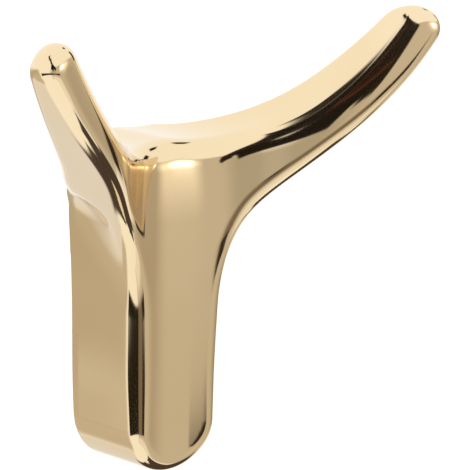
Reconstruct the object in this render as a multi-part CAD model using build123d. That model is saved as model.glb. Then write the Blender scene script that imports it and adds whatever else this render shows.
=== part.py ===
from build123d import *
import math
import os

# Cast wall hook: a solid tongue whose top spreads into two horns.
# Millimetres, +Z up. The flat back lies on the wall, the plane Y = 0, and the hook
# stands out towards -Y. The origin is the middle of the tapped hole's mouth.

# Heights above the tongue's lowest point
SADDLE_HEIGHT = 44.6
TIP_HEIGHT = 60.0
NECK_HEIGHT = 20.6
HOLE_HEIGHT = 25.0

# Front view, one half: the horn's upper line, its round end and its lower line.
# A sweep is how far a curve keeps to its end's direction before it turns away.
SADDLE_SWEEP = 4.1
TIP_OFFSET = 26.3
TIP_ANGLE = 55.8
TIP_THICKNESS = 6.1
TIP_CORNER = 3.0
UPPER_SWEEP = 23.2
LOWER_SWEEP = 18.7
NECK_SWEEP = 19.5
NECK_HALF_WIDTH = 7.2
FOOT_RADIUS = 6.7

# Plan view, one half, at the saddle's height: the front line and the horn's back
SADDLE_DEPTH = 15.1
FRONT_LEAN_ANGLE = 2.3
FRONT_SWEEP = 12.8
FRONT_TIP_SWEEP = 20.4
FRONT_TIP_ANGLE = 15.2
BLOCK_HALF_WIDTH = 7.5
BLOCK_SWEEP = 1.5
HORN_REACH = 32.2
HORN_FORWARD = 21.0
HORN_ANGLE = 18.6
HORN_SWEEP = 16.3
HORN_DEPTH = 9.5
HORN_LEAN_ANGLE = 17.2

# Edge roundings
FRONT_ROUNDING = 1.9
BACK_ROUNDING = 2.0

# Blind hole tapped for an M5 stud, at the thread's core diameter
HOLE_DIAMETER = 4.2
HOLE_DEPTH = 9.0
DRILL_POINT_ANGLE = 118.0

# How far the shapes that cut the casting run past it, and what counts as touching
MARGIN = 12.0
TOUCH = 0.001


def direction(angle):
    """Unit vector at an angle in degrees, in a flat drawing."""
    return Vector(math.cos(math.radians(angle)), math.sin(math.radians(angle)))


def foot_end(neck, middle):
    """Where the tongue's straight side, coming down from the neck, meets the round foot."""
    slope = neck - middle
    turn = math.degrees(math.atan2(slope.Y, slope.X) - math.acos(FOOT_RADIUS / slope.length))
    return middle + direction(turn) * FOOT_RADIUS


def front_outline():
    """Right half of the outline seen from the front, drawn flat as (across, height)."""
    along = direction(TIP_ANGLE)
    saddle = Vector(0, SADDLE_HEIGHT)
    inner = Vector(TIP_OFFSET, TIP_HEIGHT)
    down = direction(TIP_ANGLE - 90)
    outer = inner + down * TIP_THICKNESS
    end_1 = inner + (along + down) * TIP_CORNER
    end_2 = outer + (along - down) * TIP_CORNER
    neck = Vector(NECK_HALF_WIDTH, NECK_HEIGHT)
    foot = foot_end(neck, Vector(0, FOOT_RADIUS))
    rise = (neck - foot).normalized()
    upper = Bezier(saddle, saddle + Vector(SADDLE_SWEEP, 0), inner - along * UPPER_SWEEP, inner)
    corner_1 = TangentArc(inner, end_1, tangent=along)
    end = Line(end_1, end_2)
    corner_2 = TangentArc(end_2, outer, tangent=down)
    lower = Bezier(outer, outer - along * LOWER_SWEEP, neck + rise * NECK_SWEEP, neck)
    side = Line(neck, foot)
    toe = TangentArc(foot, Vector(0, 0), tangent=-rise)
    middle = Line((0, 0), saddle)
    return make_face([upper, corner_1, end, corner_2, lower, side, toe, middle])


def plan_line(start, start_sweep, end, end_sweep, heading):
    """Plan curve that leaves the middle and runs straight on past the horn's end."""
    along = direction(heading)
    curve = Bezier(start, start + start_sweep, end - along * end_sweep, end)
    return [curve, Line(end, end + along * MARGIN)]


def horn_end():
    """Where the horn's back surface reaches its end, in plan."""
    return Vector(HORN_REACH, -HORN_FORWARD)


def front_region():
    """Everything behind the front surface, whose lower part leans back to the wall."""
    start = Vector(0, -SADDLE_DEPTH)
    end = horn_end() + direction(-90 - HORN_ANGLE) * HORN_DEPTH
    front = plan_line(start, Vector(FRONT_SWEEP, 0), end, FRONT_TIP_SWEEP, -FRONT_TIP_ANGLE)
    corner = front[-1] @ 1
    rear = Polyline(corner, (corner.X, MARGIN), (-MARGIN, MARGIN), (-MARGIN, -SADDLE_DEPTH), start)
    face = make_face(front + rear.edges())
    lean = Vector(0, -math.tan(math.radians(FRONT_LEAN_ANGLE)), 1)
    return extrude(Plane.XY.offset(SADDLE_HEIGHT) * face, 2 * TIP_HEIGHT, dir=lean, both=True)


def back_section(height):
    """Plan at one height of all that lies inside the block's side and before the horn's back."""
    start = Vector(BLOCK_HALF_WIDTH, 0)
    rise = height - SADDLE_HEIGHT
    end = horn_end() - Vector(0, rise * math.tan(math.radians(HORN_LEAN_ANGLE)))
    back = plan_line(start, Vector(0, -BLOCK_SWEEP), end, HORN_SWEEP, -HORN_ANGLE)
    corner = back[-1] @ 1
    far = -2 * TIP_HEIGHT
    rest = Polyline(
        corner, (corner.X, far), (-MARGIN, far), (-MARGIN, MARGIN), (BLOCK_HALF_WIDTH, MARGIN), start
    )
    return Plane.XY.offset(height) * make_face(back + rest.edges())


def back_region():
    """The block's side stands upright, and the horn's back leans forward as it rises."""
    return loft([back_section(-MARGIN), back_section(TIP_HEIGHT + MARGIN)], ruled=True)


def facing(body, low, high):
    """Faces whose normal at the middle has a Y part between two limits."""
    return [face for face in body.faces() if low < face.normal_at(face.center()).Y < high]


def rim(faces):
    """Edges around the faces taken together, without those on the middle plane."""
    edges = [edge for face in faces for edge in face.edges()]
    return [edge for edge in edges if edges.count(edge) == 1 and (edge @ 0.5).X > TOUCH]


def stud_hole():
    """Blind hole with a drill point, running into the casting from the wall."""
    radius = HOLE_DIAMETER / 2
    point = radius / math.tan(math.radians(DRILL_POINT_ANGLE / 2))
    profile = Polyline((0, 0), (radius, 0), (radius, -HOLE_DEPTH), (0, -HOLE_DEPTH - point), close=True)
    return Pos(0, 0, HOLE_HEIGHT) * revolve(make_face(profile), Axis.Y)


def half_casting():
    """Right half, cut from its outline, front and back surfaces, then rounded."""
    block = extrude(Plane.XZ * front_outline(), TIP_HEIGHT)
    body = (block & front_region() & back_region()).solid()
    body = body.fillet(FRONT_ROUNDING, rim(facing(body, -1.1, -0.5)))
    wall_edges = rim(facing(body, 0.99, 1.1))
    back_edges = [edge for edge in rim(facing(body, 0.3, 0.99)) if edge not in wall_edges]
    return body.fillet(BACK_ROUNDING, back_edges)


def hook_body():
    """Both halves in one casting, with the stud's hole in its back."""
    half = half_casting()
    return half + half.mirror(Plane.YZ) - stud_hole()


def save(name, shape):
    """Write one sub-part, moved so that the hole's mouth is the origin."""
    placed = Pos(0, 0, -HOLE_HEIGHT) * shape
    placed.label = name
    export_step(placed, f"parts/{name}.step")


os.makedirs("parts", exist_ok=True)
save("hook_body", hook_body())
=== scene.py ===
import bpy
import math
import numpy as np
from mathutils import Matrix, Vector


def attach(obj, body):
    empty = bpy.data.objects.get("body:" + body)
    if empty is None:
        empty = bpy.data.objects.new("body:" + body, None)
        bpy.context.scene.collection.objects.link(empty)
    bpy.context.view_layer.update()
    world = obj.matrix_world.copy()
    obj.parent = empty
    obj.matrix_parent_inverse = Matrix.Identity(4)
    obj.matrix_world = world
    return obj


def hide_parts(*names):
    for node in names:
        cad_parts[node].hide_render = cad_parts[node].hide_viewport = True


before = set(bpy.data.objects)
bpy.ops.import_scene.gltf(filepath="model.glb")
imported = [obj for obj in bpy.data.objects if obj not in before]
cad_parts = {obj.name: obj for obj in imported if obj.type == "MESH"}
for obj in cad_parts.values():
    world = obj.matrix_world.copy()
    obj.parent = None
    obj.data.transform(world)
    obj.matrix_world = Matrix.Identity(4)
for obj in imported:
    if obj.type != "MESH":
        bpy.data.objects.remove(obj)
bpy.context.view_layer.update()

# Shapes are in millimetres, with heights above the tongue's lowest point, until they are placed
MM = 0.001

# Heights
SADDLE_HEIGHT = 44.6
TIP_HEIGHT = 60.0
NECK_HEIGHT = 20.6
HOLE_HEIGHT = 25.0

# Front view, one half: the horn's upper line, its end and its lower line.
# A sweep is how far a curve keeps to its end's direction before it turns away.
SADDLE_SWEEP = 4.1
TIP_OFFSET = 26.3
TIP_ANGLE = 55.8
TIP_THICKNESS = 6.1
TIP_CORNER = 3.0
UPPER_SWEEP = 23.2
LOWER_SWEEP = 18.7
NECK_SWEEP = 19.5
NECK_HALF_WIDTH = 7.2
FOOT_RADIUS = 6.7

# Plan view, one half, at the saddle's height: the front line and the horn's back.
# A lean is how far the surface comes forward for each millimetre that it rises.
SADDLE_DEPTH = 15.1
FRONT_LEAN = 0.04
FRONT_SWEEP = 12.8
FRONT_TIP_SWEEP = 20.4
FRONT_TIP_ANGLE = 15.2
BLOCK_HALF_WIDTH = 7.5
BLOCK_SWEEP = 1.5
HORN_REACH = 32.2
HORN_FORWARD = 21.0
HORN_ANGLE = 18.6
HORN_SWEEP = 16.3
HORN_DEPTH = 9.5
HORN_LEAN = 0.31

# The horn's underside rises towards the wall at its root: how steeply, from which depth and how
# softly, then between which distances from the middle and which heights that runs out
ROOT_SLOPE = 0.9
ROOT_DEPTH = 13.5
ROOT_EASE = 3.0
ROOT_INNER = 9.0
ROOT_OUTER = 17.0
ROOT_FOOT = 10.0
ROOT_NECK = 24.0
ROOT_LOW = 34.0
ROOT_HIGH = 43.0

# The front falls back a little towards the saddle, round a wide radius, near the middle only
CROWN_RADIUS = 100.0
CROWN_LOW = 34.0
CROWN_INNER = 2.0
CROWN_OUTER = 10.0

# Roundings, which change along the casting
TONGUE_ROUNDING = 3.1
FOOT_ROUNDING = 2.4
HORN_LOWER_ROUNDING = 2.9
SADDLE_ROUNDING = 3.4
HORN_UPPER_ROUNDING = 3.0
BLOCK_BACK_ROUNDING = 1.2
HORN_BACK_ROUNDING = 2.8
WALL_ROUNDING = 0.4
TIP_ROUNDING = 2.9

# Where each of them takes over, from and to: a height for the foot, a distance from the middle for
# the others, and for the upper edge how near it is, from 0 at the lower edge to 1
FOOT_SPAN = (16.0, 2.0)
HORN_LOWER_SPAN = (8.0, 16.0)
HORN_UPPER_SPAN = (2.0, 10.0)
HORN_BACK_SPAN = (9.0, 19.0)
TIP_SPAN = (20.0, HORN_REACH - 2)
UPPER_EDGE_SPAN = (0.25, 0.75)

# How softly a rounding runs out into its faces; 2 is a plain arc
SOFTNESS = 2.5

# Blind hole in the back, tapped M5: its thread, its depth, the mouth's rounding and the drill point
THREAD_DIAMETER = 5.0
THREAD_CORE = 4.2
THREAD_PITCH = 0.8
THREAD_CREST = 0.1
THREAD_SINK = 0.05
HOLE_DEPTH = 9.0
MOUTH_ROUNDING = 0.8
DRILL_POINT_ANGLE = 118.0

# The ridge's half width at its foot in pitches, the turns in which it runs out at each end, the
# share of its height that is left there, and its points to a turn
THREAD_FOOT = 0.42
THREAD_RUNOUT = 0.5
THREAD_END_SHARE = 0.05
TURN_POINTS = 40

# Points along each kind of curve, and every how many of them are enough for a rough distance
CURVE_POINTS = 120
CORNER_POINTS = 16
TOE_POINTS = 32
ROUGH_STRIDE = 6

# How far curves run on past the casting
FAR = 80.0

# Grid that the mesh is drawn from: its step, what it holds beside, in front of and above the horn's
# end, its border in steps, and how far the tables of distances run past it
NET_STEP = 0.3
GRID_SIDE = 1
GRID_FRONT = 12
GRID_TOP = 3
GRID_BORDER = 1.5
TABLE_MARGIN = 20
CELL_CORNERS = [(i, j, k) for i in (0, 1) for j in (0, 1) for k in (0, 1)]

# Rounds in which the vertices are drawn onto the surface, and the points measured at once
SETTLE_ROUNDS = 2
BATCH = 4000

# Step for a slope that is measured, and lengths that keep a division from zero
PROBE = 0.05
TINY = 1e-9
SMALL = 1e-6

# Gold plate: two positions in its noise with their colours, its colour in a second reflection
# (painted shade, which darkens its inner corners), the range of its roughness, and the noise
GOLD_STOPS = ((0.3, (0.90, 0.735, 0.47)), (0.7, (0.93, 0.775, 0.52)))
GOLD_PAINTED_SHADE_COLOUR = (0.80, 0.66, 0.45)
GOLD_ROUGHNESS = (0.05, 0.09)
GOLD_NOISE_SCALE = 60.0
GOLD_NOISE_DETAIL = 2.0

# Studio seen in the metal, in degrees: azimuth (0 in front, + to the right), elevation,
# half width, half height, rise of its rows per degree of azimuth, soft edge; then the colour
PANELS = (
    (20, -17, 66, 29, 0.0, 5, (0.60, 0.545, 0.475)),
    (78, -16, 22, 12, 0.0, 24, (0.46, 0.40, 0.33)),
    (-42, -12, 22, 8, 0.0, 26, (0.44, 0.40, 0.34)),
    (0, -40, 40, 8, 0.0, 10, (0.90, 0.86, 0.80)),
    (-172, -14, 29, 9, 0.0, 8, (0.52, 0.45, 0.36)),
    (-155, -30, 12, 14, 0.0, 14, (0.60, 0.53, 0.44)),
    (172, -36, 20, 13, 0.0, 12, (0.80, 0.77, 0.75)),
    (117, -61, 56, 19, 0.0, 6, (0.07, 0.05, 0.04)),
    (46, -64, 17, 13, 0.0, 4, (0.07, 0.05, 0.04)),
    (-88, -20.5, 47, 4.2, -0.02, 2, (0.02, 0.015, 0.01)),
    (-18, -21.8, 24, 4.2, -0.02, 4, (0.20, 0.16, 0.12)),
    (14, -21.5, 12, 3, 0.0, 2, (0.03, 0.02, 0.015)),
    (-108, 52, 20, 5, -0.25, 4, (0.03, 0.025, 0.02)),
    (-50, 25.4, 38, 7.5, -0.71, 3, (0.015, 0.012, 0.01)),
    (-46, 10, 15, 13, -0.45, 3, (0.015, 0.012, 0.01)),
    (-18, -1, 8, 4, -0.35, 3, (0.02, 0.015, 0.01)),
    (-42, 20, 24, 0.3, -0.69, 0.5, (0.15, 0.045, 0.025)),
    (110, 44, 8, 5, 0.0, 4, (0.03, 0.02, 0.015)),
    (94, 2, 6, 24, 0.0, 4, (0.03, 0.02, 0.015)),
    (38, 0, 20, 8, 0.0, 18, (1.35, 1.25, 1.1)),
    (34, 1, 8, 5, 0.0, 10, (3.0, 3.0, 3.0)),
)
ROOM = (1.02, 1.0, 0.98)
WHITE = (1.0, 1.0, 1.0)

# Floor, in metres, what is added to it for the camera so that it reads as white, and its paint
FLOOR_DROP = 0.5
FLOOR_HALF_WIDTH = 4.0
FLOOR_GLOW = 0.35
FLOOR_NOISE_SCALE = 8.0
FLOOR_STOPS = ((0.0, (0.88, 0.88, 0.88)), (1.0, (0.92, 0.92, 0.92)))

# Camera: degrees from the front and up, metres to its target, and its lens in millimetres
CAMERA_AZIMUTH = -38.81
CAMERA_ELEVATION = 11.07
CAMERA_DISTANCE = 0.44643
CAMERA_TARGET = (0.00989, -0.014, 0.00592)
CAMERA_LENS = 258.8
CAMERA_SENSOR = 36.0
CAMERA_CLIP = 0.01

# Colour sockets of a mix node: its two inputs and its result
MIX_FIRST = 6
MIX_SECOND = 7
MIX_RESULT = 2


def bezier(points, count):
    """Points along a cubic curve."""
    t = np.linspace(0, 1, count)[:, None]
    a, b, c, d = [np.array(point, float) for point in points]
    return (1 - t) ** 3 * a + 3 * (1 - t) ** 2 * t * b + 3 * (1 - t) * t * t * c + t ** 3 * d


def arc(middle, radius, start, end, count):
    """Points round a circle between two angles in degrees."""
    turn = np.radians(np.linspace(start, end, count))
    return np.array(middle) + radius * np.stack([np.cos(turn), np.sin(turn)], 1)


def heading(angle):
    """Unit vector at an angle in degrees."""
    return np.array([math.cos(math.radians(angle)), math.sin(math.radians(angle))])


def outline_curve():
    """Right half of the outline seen from the front, from the saddle round to the foot.

    The second value is the number of points up to the middle of the horn's end.
    """
    along = heading(TIP_ANGLE)
    down = heading(TIP_ANGLE - 90)
    inner = np.array([TIP_OFFSET, TIP_HEIGHT])
    outer = inner + down * TIP_THICKNESS
    saddle = np.array([0.0, SADDLE_HEIGHT])
    neck = np.array([NECK_HALF_WIDTH, NECK_HEIGHT])
    slope = neck - [0, FOOT_RADIUS]
    lean = math.acos(FOOT_RADIUS / np.linalg.norm(slope))
    turn = math.degrees(math.atan2(slope[1], slope[0]) - lean)
    foot = np.array([0, FOOT_RADIUS]) + heading(turn) * FOOT_RADIUS
    rise = (neck - foot) / np.linalg.norm(neck - foot)
    upper = bezier(
        [saddle, saddle + [SADDLE_SWEEP, 0], inner - along * UPPER_SWEEP, inner], CURVE_POINTS
    )
    corner_1 = arc(inner + down * TIP_CORNER, TIP_CORNER, TIP_ANGLE + 90, TIP_ANGLE, CORNER_POINTS)
    corner_2 = arc(outer - down * TIP_CORNER, TIP_CORNER, TIP_ANGLE, TIP_ANGLE - 90, CORNER_POINTS)
    lower = bezier(
        [outer, outer - along * LOWER_SWEEP, neck + rise * NECK_SWEEP, neck], CURVE_POINTS
    )
    toe = arc([0, FOOT_RADIUS], FOOT_RADIUS, turn, -90, TOE_POINTS)
    return np.vstack([upper, corner_1[1:], corner_2, lower[1:], toe]), len(upper) + CORNER_POINTS


def front_curve():
    """Front surface in plan, from the middle out past the horn's end."""
    end = np.array([HORN_REACH, -HORN_FORWARD]) + heading(-90 - HORN_ANGLE) * HORN_DEPTH
    along = heading(-FRONT_TIP_ANGLE)
    start = np.array([0, -SADDLE_DEPTH])
    curve = bezier([start, start + [FRONT_SWEEP, 0], end - along * FRONT_TIP_SWEEP, end], CURVE_POINTS)
    return np.vstack([curve, end + along * FAR])


def back_curve():
    """Block's side and the horn's back in plan.

    The other two values are the curve's distances from the middle and how much of the horn's lean
    each of them takes.
    """
    start = np.array([BLOCK_HALF_WIDTH, 0.0])
    end = np.array([HORN_REACH, -HORN_FORWARD])
    along = heading(-HORN_ANGLE)
    curve = bezier([start, start - [0, BLOCK_SWEEP], end - along * HORN_SWEEP, end], CURVE_POINTS)
    t = np.linspace(0, 1, CURVE_POINTS)
    share = 3 * (1 - t) * t * t + t ** 3
    return np.vstack([[BLOCK_HALF_WIDTH, FAR], curve, end + along * FAR]), curve[:, 0], share


OUTLINE, UPPER_COUNT = outline_curve()
FRONT = front_curve()
BACK, SHARE_X, SHARE = back_curve()


def unit(vectors):
    """Each vector brought to length 1."""
    return vectors / np.linalg.norm(vectors, axis=1)[:, None]


def side_of(curve, points, outward):
    """Signed distance to a flat curve, and the direction in which it grows.

    It grows to the left of the curve's way with outward at 1, and to the right with -1.
    """
    step = np.diff(curve, axis=0)
    length = np.linalg.norm(step, axis=1)
    keep = length > TINY
    start, step, length = curve[:-1][keep], step[keep], length[keep]
    tangent = step / length[:, None]
    knot = unit(np.vstack([tangent[:1], tangent[:-1] + tangent[1:], tangent[-1:]]))
    distance = np.empty(len(points))
    growth = np.empty((len(points), 2))
    for first in range(0, len(points), BATCH):
        batch = slice(first, first + BATCH)
        gap = points[batch, None] - start[None]
        share = np.clip((gap * step[None]).sum(-1) / (length ** 2)[None], 0, 1)
        gap = gap - step[None] * share[..., None]
        reach = (gap ** 2).sum(-1)
        best = reach.argmin(1)
        row = np.arange(len(best))
        s = share[row, best][:, None]
        along = unit(knot[best] * (1 - s) + knot[best + 1] * s)
        normal = np.stack([-along[:, 1], along[:, 0]], 1) * outward
        sign = np.where((gap[row, best] * normal).sum(1) < 0, -1.0, 1.0)
        distance[batch] = np.sqrt(reach[row, best]) * sign
        growth[batch] = normal
    return distance, growth


def smooth(value, start, end):
    """Smooth step from 0 at the start to 1 at the end."""
    t = np.clip((value - start) / (end - start), 0, 1)
    return t * t * (3 - 2 * t)


def fade(value, start, end):
    """Smooth step from 1 at the start to 0 at the end, with its slope."""
    t = np.clip((value - start) / (end - start), 0, 1)
    return 1 - t * t * (3 - 2 * t), -6 * t * (1 - t) / (end - start)


def root_rise(across, y, height):
    """How far the underside is lifted, and how that grows across, towards the wall and upwards."""
    near, near_slope = fade(across, ROOT_INNER, ROOT_OUTER)
    low, low_slope = fade(height, ROOT_LOW, ROOT_HIGH)
    foot, foot_slope = fade(height, ROOT_FOOT, ROOT_NECK)
    band = low * (1 - foot)
    band_slope = low_slope * (1 - foot) - low * foot_slope
    deep = y + ROOT_DEPTH
    eased = np.sqrt(deep * deep + ROOT_EASE * ROOT_EASE)
    lift = ROOT_SLOPE * (deep + eased) / 2
    lift_slope = ROOT_SLOPE * (1 + deep / eased) / 2
    return (
        lift * near * band,
        lift * near_slope * band,
        lift_slope * near * band,
        lift * near * band_slope,
    )


def crown(across, height):
    """How far the front falls back, and how that grows across and upwards."""
    near, near_slope = fade(across, CROWN_INNER, CROWN_OUTER)
    rise = np.maximum(height - CROWN_LOW, 0)
    depth = rise * rise / (2 * CROWN_RADIUS)
    return depth * near, depth * near_slope, rise / CROWN_RADIUS * near


def top_share(across, height):
    """1 along the saddle and the horns' upper edge, 0 along the lower edge and the tongue."""
    spot = np.stack([across, height], 1)
    upper = np.abs(side_of(OUTLINE[:UPPER_COUNT:ROUGH_STRIDE], spot, 1)[0])
    lower = np.abs(side_of(OUTLINE[UPPER_COUNT::ROUGH_STRIDE], spot, 1)[0])
    return smooth(lower / (upper + lower + SMALL), *UPPER_EDGE_SPAN)


def roundings(across, height):
    """Radius of the front edges and of the back edges at each point."""
    horn_lower = smooth(across, *HORN_LOWER_SPAN)
    horn_upper = smooth(across, *HORN_UPPER_SPAN)
    horn_back = smooth(across, *HORN_BACK_SPAN)
    low = TONGUE_ROUNDING + (HORN_LOWER_ROUNDING - TONGUE_ROUNDING) * horn_lower
    low = low + (FOOT_ROUNDING - TONGUE_ROUNDING) * smooth(height, *FOOT_SPAN)
    high = SADDLE_ROUNDING + (HORN_UPPER_ROUNDING - SADDLE_ROUNDING) * horn_upper
    front = low + (high - low) * top_share(across, height)
    back = BLOCK_BACK_ROUNDING + (HORN_BACK_ROUNDING - BLOCK_BACK_ROUNDING) * horn_back
    end = smooth(across, *TIP_SPAN)
    return front + (TIP_ROUNDING - front) * end, back + (TIP_ROUNDING - back) * end


def round_value(a, b, radius):
    """Intersection of two fields with a round edge."""
    u = np.maximum(a + radius, 0)
    v = np.maximum(b + radius, 0)
    return np.minimum(np.maximum(a, b), -radius) + (u ** SOFTNESS + v ** SOFTNESS) ** (1 / SOFTNESS)


def rounded(a, ga, b, gb, radius):
    """The same, with its direction of growth."""
    u = np.maximum(a + radius, 0) ** (SOFTNESS - 1)
    v = np.maximum(b + radius, 0) ** (SOFTNESS - 1)
    plain = u + v <= 0
    u = np.where(plain, a > b, u)
    v = np.where(plain, a <= b, v)
    return round_value(a, b, radius), unit(u[:, None] * ga + v[:, None] * gb)


def levelled(value, growth):
    """A field divided by how steeply it grows, which makes it a distance, and its direction."""
    steep = np.linalg.norm(growth, axis=1)
    return value / steep, growth / steep[:, None]


def outline_field(across, y, z, flip):
    """Field of the front outline, whose lower line rises at the horn's root."""
    lift, lift_x, lift_y, lift_z = root_rise(across, y, z)
    value, flat = side_of(OUTLINE, np.stack([across, z - lift], 1), 1)
    g_x, g_z = flat.T
    growth = np.stack([(g_x - g_z * lift_x) * flip, -g_z * lift_y, g_z * (1 - lift_z)], 1)
    return levelled(value, growth)


def front_field(across, y, z, flip):
    """Field of the front surface, which leans, and falls back towards the saddle."""
    fall, fall_x, fall_z = crown(across, z)
    upright = y - FRONT_LEAN * (SADDLE_HEIGHT - z) - fall
    value, flat = side_of(FRONT, np.stack([across, upright], 1), -1)
    g_x, g_y = flat.T
    growth = np.stack([(g_x - g_y * fall_x) * flip, g_y, g_y * (FRONT_LEAN - fall_z)], 1)
    return value, unit(growth)


def back_field(across, y, z, flip):
    """Field of the block's upright side and of the horn's leaning back."""
    share = np.interp(across, SHARE_X, SHARE)
    change = np.interp(across + PROBE, SHARE_X, SHARE) - np.interp(across - PROBE, SHARE_X, SHARE)
    lean = HORN_LEAN * (SADDLE_HEIGHT - z)
    value, flat = side_of(BACK, np.stack([across, y - lean * share], 1), 1)
    g_x, g_y = flat.T
    sideways = g_x - g_y * lean * change / (2 * PROBE)
    growth = np.stack([sideways * flip, g_y, g_y * HORN_LEAN * share], 1)
    return levelled(value, growth)


def hole(x, y, z):
    """The tapped hole as a field, below zero in the hole, and its direction of growth."""
    up = z - HOLE_HEIGHT
    radius = np.hypot(x, up) + TINY
    half = math.radians(DRILL_POINT_ANGLE / 2)
    wall = radius - THREAD_DIAMETER / 2
    point = wall * math.cos(half) - (y + HOLE_DEPTH) * math.sin(half)
    out = np.where(wall > point, 1, math.cos(half))
    along = np.where(wall > point, 0, -math.sin(half))
    return np.maximum(wall, point), np.stack([out * x / radius, along, out * up / radius], -1)


def casting(points):
    """The hook as a field, below zero inside, and its direction of growth."""
    x, y, z = points.T
    across = np.abs(x)
    flip = np.where(x < 0, -1.0, 1.0)
    none = np.zeros(len(points))
    wall_grow = np.stack([none, none + 1, none], 1)
    outline, outline_grow = outline_field(across, y, z, flip)
    front, front_grow = front_field(across, y, z, flip)
    back, back_grow = back_field(across, y, z, flip)
    front_radius, back_radius = roundings(across, z)
    body, grow = rounded(outline, outline_grow, front, front_grow, front_radius)
    for value, growth, radius in ((back, back_grow, back_radius), (y, wall_grow, WALL_ROUNDING)):
        other, other_grow = rounded(outline, outline_grow, value, growth, radius)
        more = other > body
        body = np.where(more, other, body)
        grow = np.where(more[:, None], other_grow, grow)
    bore, bore_grow = hole(x, y, z)
    return rounded(body, grow, -bore, -bore_grow, MOUTH_ROUNDING)


def shifted_table(curve, outward, across, along, shifted):
    """Distance to a flat curve on a grid, read at places that shift along its second axis."""
    spot = np.stack(np.meshgrid(across, along, indexing="ij"), -1).reshape(-1, 2)
    table = side_of(curve, spot, outward)[0].reshape(len(across), len(along))
    last = len(along) - 1.001
    place = np.clip((shifted - along[0]) / (along[1] - along[0]), 0, last)
    whole = place.astype(int)
    share = place - whole
    row = np.arange(len(across))[:, None, None]
    return table[row, whole] * (1 - share) + table[row, whole + 1] * share


def casting_grid(axes):
    """The hook's field at every point of a grid, from flat tables of its curves."""
    across = np.abs(axes[0])
    step = axes[1][1] - axes[1][0]
    spot = np.stack(np.meshgrid(across, axes[2], indexing="ij"), -1).reshape(-1, 2)
    front_radius, back_radius = [r.reshape(len(across), 1, -1) for r in roundings(*spot.T)]
    x, y, z = np.meshgrid(across, axes[1], axes[2], indexing="ij")
    depths, heights = [
        np.arange(axis[0] - TABLE_MARGIN, axis[-1] + TABLE_MARGIN, step) for axis in axes[1:]
    ]
    share = np.interp(across, SHARE_X, SHARE)[:, None, None]
    drop = SADDLE_HEIGHT - z
    outline = shifted_table(OUTLINE, 1, across, heights, z - root_rise(x, y, z)[0])
    front = shifted_table(FRONT, -1, across, depths, y - FRONT_LEAN * drop - crown(x, z)[0])
    back = shifted_table(BACK, 1, across, depths, y - HORN_LEAN * drop * share)
    body = round_value(outline, front, front_radius)
    body = np.maximum(body, round_value(outline, back, back_radius))
    body = np.maximum(body, round_value(outline, y, WALL_ROUNDING))
    return round_value(body, -hole(x, y, z)[0], MOUTH_ROUNDING)


def mean_crossing(values, where):
    """Mean of the points at which a cell's edges cross the zero level, in steps within the cell."""
    at = {corner: values[tuple((where + corner).T)] for corner in CELL_CORNERS}
    total = np.zeros((len(where), 3))
    count = np.zeros((len(where), 1))
    for axis in range(3):
        for corner in CELL_CORNERS:
            if corner[axis]:
                continue
            near, far = at[corner], at[tuple(k + (n == axis) for n, k in enumerate(corner))]
            cross = (near < 0) != (far < 0)
            spot = np.tile(np.array(corner, float), (len(where), 1))
            spot[:, axis] = near / np.where(cross, near - far, 1)
            total += spot * cross[:, None]
            count += cross[:, None]
    return total / count


def ring_faces(values, index, axis):
    """One quad round each of the grid's edges along an axis that crosses the zero level."""
    one, two = (axis + 1) % 3, (axis + 2) % 3
    lower = [slice(None)] * 3
    upper = [slice(None)] * 3
    lower[axis] = slice(0, -1)
    upper[axis] = slice(1, None)
    inside = values[tuple(lower)] < 0
    edge = np.argwhere(inside != (values[tuple(upper)] < 0))
    edge = edge[(edge[:, one] > 0) & (edge[:, two] > 0)]
    ring = []
    for back_1, back_2 in ((1, 1), (0, 1), (0, 0), (1, 0)):
        cell = edge.copy()
        cell[:, one] -= back_1
        cell[:, two] -= back_2
        ring.append(index[tuple(cell.T)])
    ring = np.stack(ring, 1)
    outward = inside[tuple(edge.T)]
    return np.where(outward[:, None], ring, ring[:, ::-1])


def net(axes, values):
    """Closed quad mesh round the zero level of a grid, one vertex to a cell."""
    step = axes[0][1] - axes[0][0]
    cells = tuple(n - 1 for n in values.shape)
    inside = np.zeros(cells, np.int8)
    for corner in CELL_CORNERS:
        inside += values[tuple(slice(c, n + c) for c, n in zip(corner, cells))] < 0
    where = np.argwhere((inside > 0) & (inside < len(CELL_CORNERS)))
    vertices = np.array([axis[0] for axis in axes]) + (where + mean_crossing(values, where)) * step
    index = np.full(cells, -1)
    index[tuple(where.T)] = np.arange(len(where))
    return vertices, np.vstack([ring_faces(values, index, axis) for axis in range(3)])


def settle(field, vertices):
    """Draws the vertices onto the field's surface and gives their normals."""
    for _ in range(SETTLE_ROUNDS):
        value, growth = field(vertices)
        vertices = vertices - growth * value[:, None]
    return vertices, field(vertices)[1]


def thread():
    """Ridge of the thread, wound along the hole and run out at both ends."""
    turns = (HOLE_DEPTH - 2 * THREAD_PITCH) / THREAD_PITCH
    count = int(turns * TURN_POINTS)
    t = np.linspace(0, 1, count + 1)
    turn = 2 * math.pi * turns * t
    depth = THREAD_PITCH * (1 + turns * t)
    ease = smooth(np.minimum(t, 1 - t) * turns, 0, THREAD_RUNOUT)
    base = THREAD_DIAMETER / 2 + THREAD_SINK
    crest = base - (base - THREAD_CORE / 2) * (THREAD_END_SHARE + (1 - THREAD_END_SHARE) * ease)
    foot = THREAD_PITCH * THREAD_FOOT
    section = ((base, -foot), (crest, -THREAD_CREST / 2), (crest, THREAD_CREST / 2), (base, foot))
    rings = [
        np.stack([radius * np.cos(turn), -(depth + shift), HOLE_HEIGHT + radius * np.sin(turn)], 1)
        for radius, shift in section
    ]
    vertices = np.stack(rings, 1).reshape(-1, 3)
    start = 4 * np.arange(count)
    faces = []
    for n in range(4):
        m = (n + 1) % 4
        faces += np.stack([start + n, start + m, start + 4 + m, start + 4 + n], 1).tolist()
    last = 4 * count
    faces += [[3, 2, 1, 0], [last, last + 1, last + 2, last + 3]]
    return vertices, faces


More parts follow.
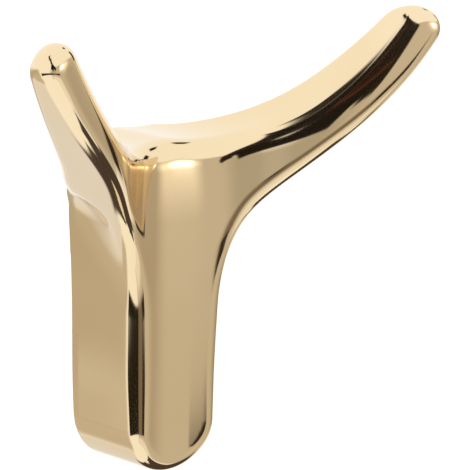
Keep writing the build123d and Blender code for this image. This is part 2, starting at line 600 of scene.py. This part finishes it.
def mesh_object(name, vertices, faces, normals=None):
    """New object from vertices in millimetres above the foot."""
    mesh = bpy.data.meshes.new(name)
    placed = (vertices - [0, 0, HOLE_HEIGHT]) * MM
    mesh.from_pydata(placed.tolist(), [], [list(face) for face in faces])
    mesh.polygons.foreach_set("use_smooth", [True] * len(mesh.polygons))
    if normals is not None:
        mesh.normals_split_custom_set_from_vertices(normals.tolist())
    mesh.update()
    piece = bpy.data.objects.new(name, mesh)
    bpy.context.scene.collection.objects.link(piece)
    return piece


def feed(tree, socket, value):
    """Give an input its value, or link it when the value is another node's output."""
    if isinstance(value, bpy.types.NodeSocket):
        tree.links.new(value, socket)
    else:
        socket.default_value = value


def node_math(tree, operation, *values):
    """Math node fed with numbers or outputs."""
    node = tree.nodes.new("ShaderNodeMath")
    node.operation = operation
    for socket, value in zip(node.inputs, values):
        feed(tree, socket, value)
    return node.outputs[0]


def mix_colours(tree, factor, first, second):
    """Mix of two colours."""
    node = tree.nodes.new("ShaderNodeMix")
    node.data_type = "RGBA"
    feed(tree, node.inputs["Factor"], factor)
    feed(tree, node.inputs[MIX_FIRST], first)
    feed(tree, node.inputs[MIX_SECOND], second)
    return node.outputs[MIX_RESULT]


def mix_shaders(tree, factor, first, second):
    """Mix of two shaders."""
    node = tree.nodes.new("ShaderNodeMixShader")
    for socket, value in zip(node.inputs, (factor, first, second)):
        feed(tree, socket, value)
    return node.outputs[0]


def tone_ramp(tree, level, stops):
    """Colours over a level from 0 to 1; each stop is a position and its colour."""
    node = tree.nodes.new("ShaderNodeValToRGB")
    for element, (position, colour) in zip(node.color_ramp.elements, stops):
        element.position = position
        element.color = (*colour, 1)
    feed(tree, node.inputs["Fac"], level)
    return node.outputs["Color"]


def polished_gold():
    """Polished plate with a little change in tone and gloss, deeper in a second reflection.

    The deeper colour is painted shade, which darkens the inner corners where the plate sees itself.
    """
    material = bpy.data.materials.new("polished_gold")
    material.use_nodes = True
    tree = material.node_tree
    shader = tree.nodes["Principled BSDF"]
    shader.inputs["Metallic"].default_value = 1.0
    path = tree.nodes.new("ShaderNodeLightPath")
    place = tree.nodes.new("ShaderNodeTexCoord").outputs["Object"]
    noise = tree.nodes.new("ShaderNodeTexNoise")
    noise.inputs["Scale"].default_value = GOLD_NOISE_SCALE
    noise.inputs["Detail"].default_value = GOLD_NOISE_DETAIL
    tree.links.new(place, noise.inputs["Vector"])
    tone = tone_ramp(tree, noise.outputs["Fac"], GOLD_STOPS)
    # Painted shade: rays that have already bounced off the plate see it darker, which shades its inner
    # corners
    colour = mix_colours(tree, path.outputs["Is Glossy Ray"], tone, (*GOLD_PAINTED_SHADE_COLOUR, 1))
    tree.links.new(colour, shader.inputs["Base Color"])
    gloss = tree.nodes.new("ShaderNodeMapRange")
    gloss.inputs["To Min"].default_value = GOLD_ROUGHNESS[0]
    gloss.inputs["To Max"].default_value = GOLD_ROUGHNESS[1]
    tree.links.new(noise.outputs["Fac"], gloss.inputs["Value"])
    tree.links.new(gloss.outputs["Result"], shader.inputs["Roughness"])
    return material


def soft_window(tree, angle, half, edge):
    """1 within half a width on each side of zero, and 0 past a soft edge, both in degrees."""
    node = tree.nodes.new("ShaderNodeMapRange")
    node.interpolation_type = "SMOOTHSTEP"
    node.inputs["From Min"].default_value = math.radians(half + edge / 2)
    node.inputs["From Max"].default_value = math.radians(half - edge / 2)
    tree.links.new(node_math(tree, "ABSOLUTE", angle), node.inputs["Value"])
    return node.outputs["Result"]


def panel_mask(tree, way, azimuth, elevation, half_width, half_height, slope, edge):
    """1 where a ray's way meets a panel of the studio, and 0 elsewhere."""
    turn = tree.nodes.new("ShaderNodeVectorRotate")
    turn.rotation_type = "Z_AXIS"
    turn.inputs["Angle"].default_value = -math.radians(azimuth)
    tree.links.new(way, turn.inputs["Vector"])
    split = tree.nodes.new("ShaderNodeSeparateXYZ")
    tree.links.new(turn.outputs[0], split.inputs[0])
    x, y, z = split.outputs
    side = node_math(tree, "ARCTAN2", x, node_math(tree, "MULTIPLY", y, -1.0))
    row = node_math(tree, "MULTIPLY_ADD", side, slope, math.radians(elevation))
    rise = node_math(tree, "SUBTRACT", node_math(tree, "ARCSINE", z), row)
    beside = soft_window(tree, side, half_width, edge)
    level = soft_window(tree, rise, half_height, edge)
    return node_math(tree, "MULTIPLY", beside, level)


def background(tree, colour):
    """Plain light of one colour from every side."""
    node = tree.nodes.new("ShaderNodeBackground")
    feed(tree, node.inputs["Color"], colour)
    return node.outputs[0]


def studio():
    """World: white to the camera; to the metal, a pale room with soft panels and dark flags."""
    world = bpy.data.worlds.new("studio")
    world.use_nodes = True
    bpy.context.scene.world = world
    tree = world.node_tree
    tree.nodes.clear()
    way = tree.nodes.new("ShaderNodeTexCoord").outputs["Generated"]
    colour = (*ROOM, 1)
    for *place, shade in PANELS:
        colour = mix_colours(tree, panel_mask(tree, way, *place), colour, (*shade, 1))
    path = tree.nodes.new("ShaderNodeLightPath")
    room = background(tree, colour)
    plain = background(tree, (*WHITE, 1))
    out = tree.nodes.new("ShaderNodeOutputWorld")
    seen = mix_shaders(tree, path.outputs["Is Camera Ray"], room, plain)
    tree.links.new(seen, out.inputs["Surface"])


def floor_paint():
    """Pale paint that glows a little for the camera; the metal sees the studio through it."""
    material = bpy.data.materials.new("floor")
    material.use_nodes = True
    tree = material.node_tree
    tree.nodes.clear()
    path = tree.nodes.new("ShaderNodeLightPath")
    paint = tree.nodes.new("ShaderNodeBsdfDiffuse")
    noise = tree.nodes.new("ShaderNodeTexNoise")
    noise.inputs["Scale"].default_value = FLOOR_NOISE_SCALE
    feed(tree, paint.inputs["Color"], tone_ramp(tree, noise.outputs["Fac"], FLOOR_STOPS))
    glow = tree.nodes.new("ShaderNodeEmission")
    strength = node_math(tree, "MULTIPLY", path.outputs["Is Camera Ray"], FLOOR_GLOW)
    tree.links.new(strength, glow.inputs["Strength"])
    lit = tree.nodes.new("ShaderNodeAddShader")
    tree.links.new(paint.outputs[0], lit.inputs[0])
    tree.links.new(glow.outputs[0], lit.inputs[1])
    clear = tree.nodes.new("ShaderNodeBsdfTransparent")
    out = tree.nodes.new("ShaderNodeOutputMaterial")
    seen = mix_shaders(tree, path.outputs["Is Glossy Ray"], lit.outputs[0], clear.outputs[0])
    tree.links.new(seen, out.inputs["Surface"])
    return material


def floor():
    """Plain pale floor far below the hook."""
    item = bpy.data.objects.new("floor", bpy.data.meshes.new("floor"))
    half, low = FLOOR_HALF_WIDTH, -FLOOR_DROP
    corners = [(-half, -half, low), (half, -half, low), (half, half, low), (-half, half, low)]
    item.data.from_pydata(corners, [], [(0, 1, 2, 3)])
    bpy.context.scene.collection.objects.link(item)
    item.data.materials.append(floor_paint())


def camera():
    """Camera of the photograph: from the left, a little above, with a long lens."""
    azimuth, elevation = math.radians(CAMERA_AZIMUTH), math.radians(CAMERA_ELEVATION)
    level = math.cos(elevation)
    back = Vector((math.sin(azimuth) * level, -math.cos(azimuth) * level, math.sin(elevation)))
    data = bpy.data.cameras.new("camera")
    data.sensor_width = CAMERA_SENSOR
    data.lens = CAMERA_LENS
    data.clip_start = CAMERA_CLIP
    item = bpy.data.objects.new("camera", data)
    item.location = Vector(CAMERA_TARGET) + back * CAMERA_DISTANCE
    item.rotation_mode = "QUATERNION"
    item.rotation_quaternion = (-back).to_track_quat("-Z", "Y")
    bpy.context.scene.collection.objects.link(item)
    bpy.context.scene.camera = item


def grid_axes():
    """Places of the grid's planes along each axis, round the whole casting."""
    low = (-HORN_REACH - GRID_SIDE, -HORN_FORWARD - GRID_FRONT, 0)
    high = (HORN_REACH + GRID_SIDE, 0, TIP_HEIGHT + GRID_TOP)
    border = GRID_BORDER * NET_STEP
    return [np.arange(a - border, b + border, NET_STEP) for a, b in zip(low, high)]


gold = polished_gold()
axes = grid_axes()
vertices, faces = net(axes, casting_grid(axes))
vertices, normals = settle(casting, vertices)
hook = mesh_object("hook_casting", vertices, faces, normals)
hook.data.materials.append(gold)
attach(hook, "root")
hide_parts("hook_body")
ridge = mesh_object("hole_thread", *thread())
ridge.data.materials.append(gold)
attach(ridge, "root")
studio()
floor()
camera()
bpy.context.scene.view_settings.view_transform = "Standard"
